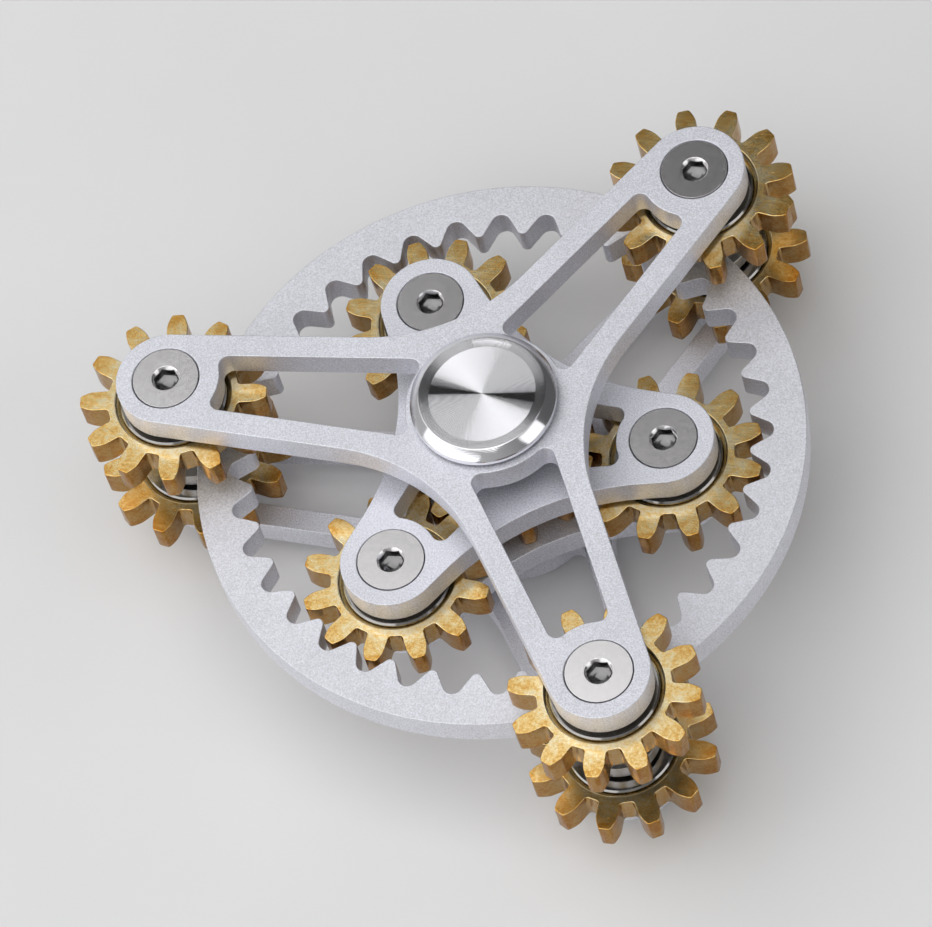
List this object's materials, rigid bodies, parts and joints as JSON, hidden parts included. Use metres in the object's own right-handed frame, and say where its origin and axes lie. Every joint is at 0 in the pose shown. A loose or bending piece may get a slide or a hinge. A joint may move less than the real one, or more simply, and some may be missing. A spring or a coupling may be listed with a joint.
{
  "type": "planetary gear set",
  "caption": "Planetary gear set as a hand spinner: a sun and planets in a short star turn inside a toothed ring, and a long star carries stacked brass gears between finger caps.",
  "frame": {"origin": "on the main axis, at the middle plane of the ring gear", "axes": "+Z along the main axis towards the upper finger cap, +X midway between two long arms"},
  "size_m": [0.0669, 0.0693, 0.0238],
  "materials": {
    "plate": "bead-blasted, clear anodised",
    "ring": "bead-blasted, clear anodised",
    "gear": "finely brushed faces with light patina",
    "finger_cap": "turned, polished bevel",
    "nut": "satin",
    "race": "ground and polished",
    "ball": "polished",
    "cage": "pressed",
    "steel": "turned"
  },
  "bodies": {
    "axle": {"axle": "steel", "upper_finger_cap": "finger_cap", "lower_finger_cap": "finger_cap", "axle_spacers": "steel", "axle_inner_races": "race", "axle_bearing_balls": "ball", "axle_ball_cages": "cage"},
    "long_star": {"upper_long_plate": "plate", "lower_long_plate": "plate", "upper_long_nuts": "nut", "lower_long_nuts": "nut", "long_studs": "steel", "ring_keepers": "steel", "long_washers": "steel", "long_hub_outer_races": "race", "outer_gear_inner_races": "race", "outer_gear_balls": "ball", "outer_gear_ball_cages": "cage"},
    "short_star": {"upper_short_plate": "plate", "lower_short_plate": "plate", "upper_short_nuts": "nut", "lower_short_nuts": "nut", "short_studs": "steel", "short_washers": "steel", "short_hub_outer_races": "race", "planet_inner_races": "race", "planet_balls": "ball", "planet_ball_cages": "cage"},
    "ring": {"ring_gear": "ring"},
    "sun": {"sun_gear": "gear", "sun_outer_race": "race"},
    "planet_1": {"planet_gear_1": "gear", "planet_outer_race_1": "race"},
    "planet_2": {"planet_gear_2": "gear", "planet_outer_race_2": "race"},
    "planet_3": {"planet_gear_3": "gear", "planet_outer_race_3": "race"},
    "upper_outer_1": {"upper_outer_gear_1": "gear", "upper_outer_race_1": "race"},
    "upper_outer_2": {"upper_outer_gear_2": "gear", "upper_outer_race_2": "race"},
    "upper_outer_3": {"upper_outer_gear_3": "gear", "upper_outer_race_3": "race"},
    "lower_outer_1": {"lower_outer_gear_1": "gear", "lower_outer_race_1": "race"},
    "lower_outer_2": {"lower_outer_gear_2": "gear", "lower_outer_race_2": "race"},
    "lower_outer_3": {"lower_outer_gear_3": "gear", "lower_outer_race_3": "race"}
  },
  "joints": [
    {"name": "long_star_spin", "type": "hinge", "parent": "axle", "child": "long_star", "pos_m": [0, 0, 0], "axis": [0, 0, 1], "continuous": true},
    {"name": "short_star_spin", "type": "hinge", "parent": "axle", "child": "short_star", "pos_m": [0, 0, 0], "axis": [0, 0, 1], "continuous": true},
    {"name": "ring_spin", "type": "hinge", "parent": "short_star", "child": "ring", "pos_m": [0, 0, 0], "axis": [0, 0, 1], "continuous": true},
    {"name": "sun_spin", "type": "hinge", "parent": "short_star", "child": "sun", "pos_m": [0, 0, 0], "axis": [0, 0, 1], "continuous": true},
    {"name": "planet_1_spin", "type": "hinge", "parent": "short_star", "child": "planet_1", "pos_m": [0.01558, 0.00076, 0], "axis": [0, 0, 1], "continuous": true},
    {"name": "planet_2_spin", "type": "hinge", "parent": "short_star", "child": "planet_2", "pos_m": [-0.00845, 0.01311, 0], "axis": [0, 0, 1], "continuous": true},
    {"name": "planet_3_spin", "type": "hinge", "parent": "short_star", "child": "planet_3", "pos_m": [-0.00713, -0.01387, 0], "axis": [0, 0, 1], "continuous": true},
    {"name": "upper_outer_1_spin", "type": "hinge", "parent": "long_star", "child": "upper_outer_1", "pos_m": [0.015, 0.02598, 0.0052], "axis": [0, 0, 1], "continuous": true},
    {"name": "upper_outer_2_spin", "type": "hinge", "parent": "long_star", "child": "upper_outer_2", "pos_m": [-0.03, 0, 0.0052], "axis": [0, 0, 1], "continuous": true},
    {"name": "upper_outer_3_spin", "type": "hinge", "parent": "long_star", "child": "upper_outer_3", "pos_m": [0.015, -0.02598, 0.0052], "axis": [0, 0, 1], "continuous": true},
    {"name": "lower_outer_1_spin", "type": "hinge", "parent": "long_star", "child": "lower_outer_1", "pos_m": [0.015, 0.02598, -0.0052], "axis": [0, 0, 1], "continuous": true},
    {"name": "lower_outer_2_spin", "type": "hinge", "parent": "long_star", "child": "lower_outer_2", "pos_m": [-0.03, 0, -0.0052], "axis": [0, 0, 1], "continuous": true},
    {"name": "lower_outer_3_spin", "type": "hinge", "parent": "long_star", "child": "lower_outer_3", "pos_m": [0.015, -0.02598, -0.0052], "axis": [0, 0, 1], "continuous": true}
  ],
  "couplings": [
    {"joint": "sun_spin", "follows": "ring_spin", "ratio": -3},
    {"joint": "planet_1_spin", "follows": "ring_spin", "ratio": 3},
    {"joint": "planet_2_spin", "follows": "ring_spin", "ratio": 3},
    {"joint": "planet_3_spin", "follows": "ring_spin", "ratio": 3}
  ]
}
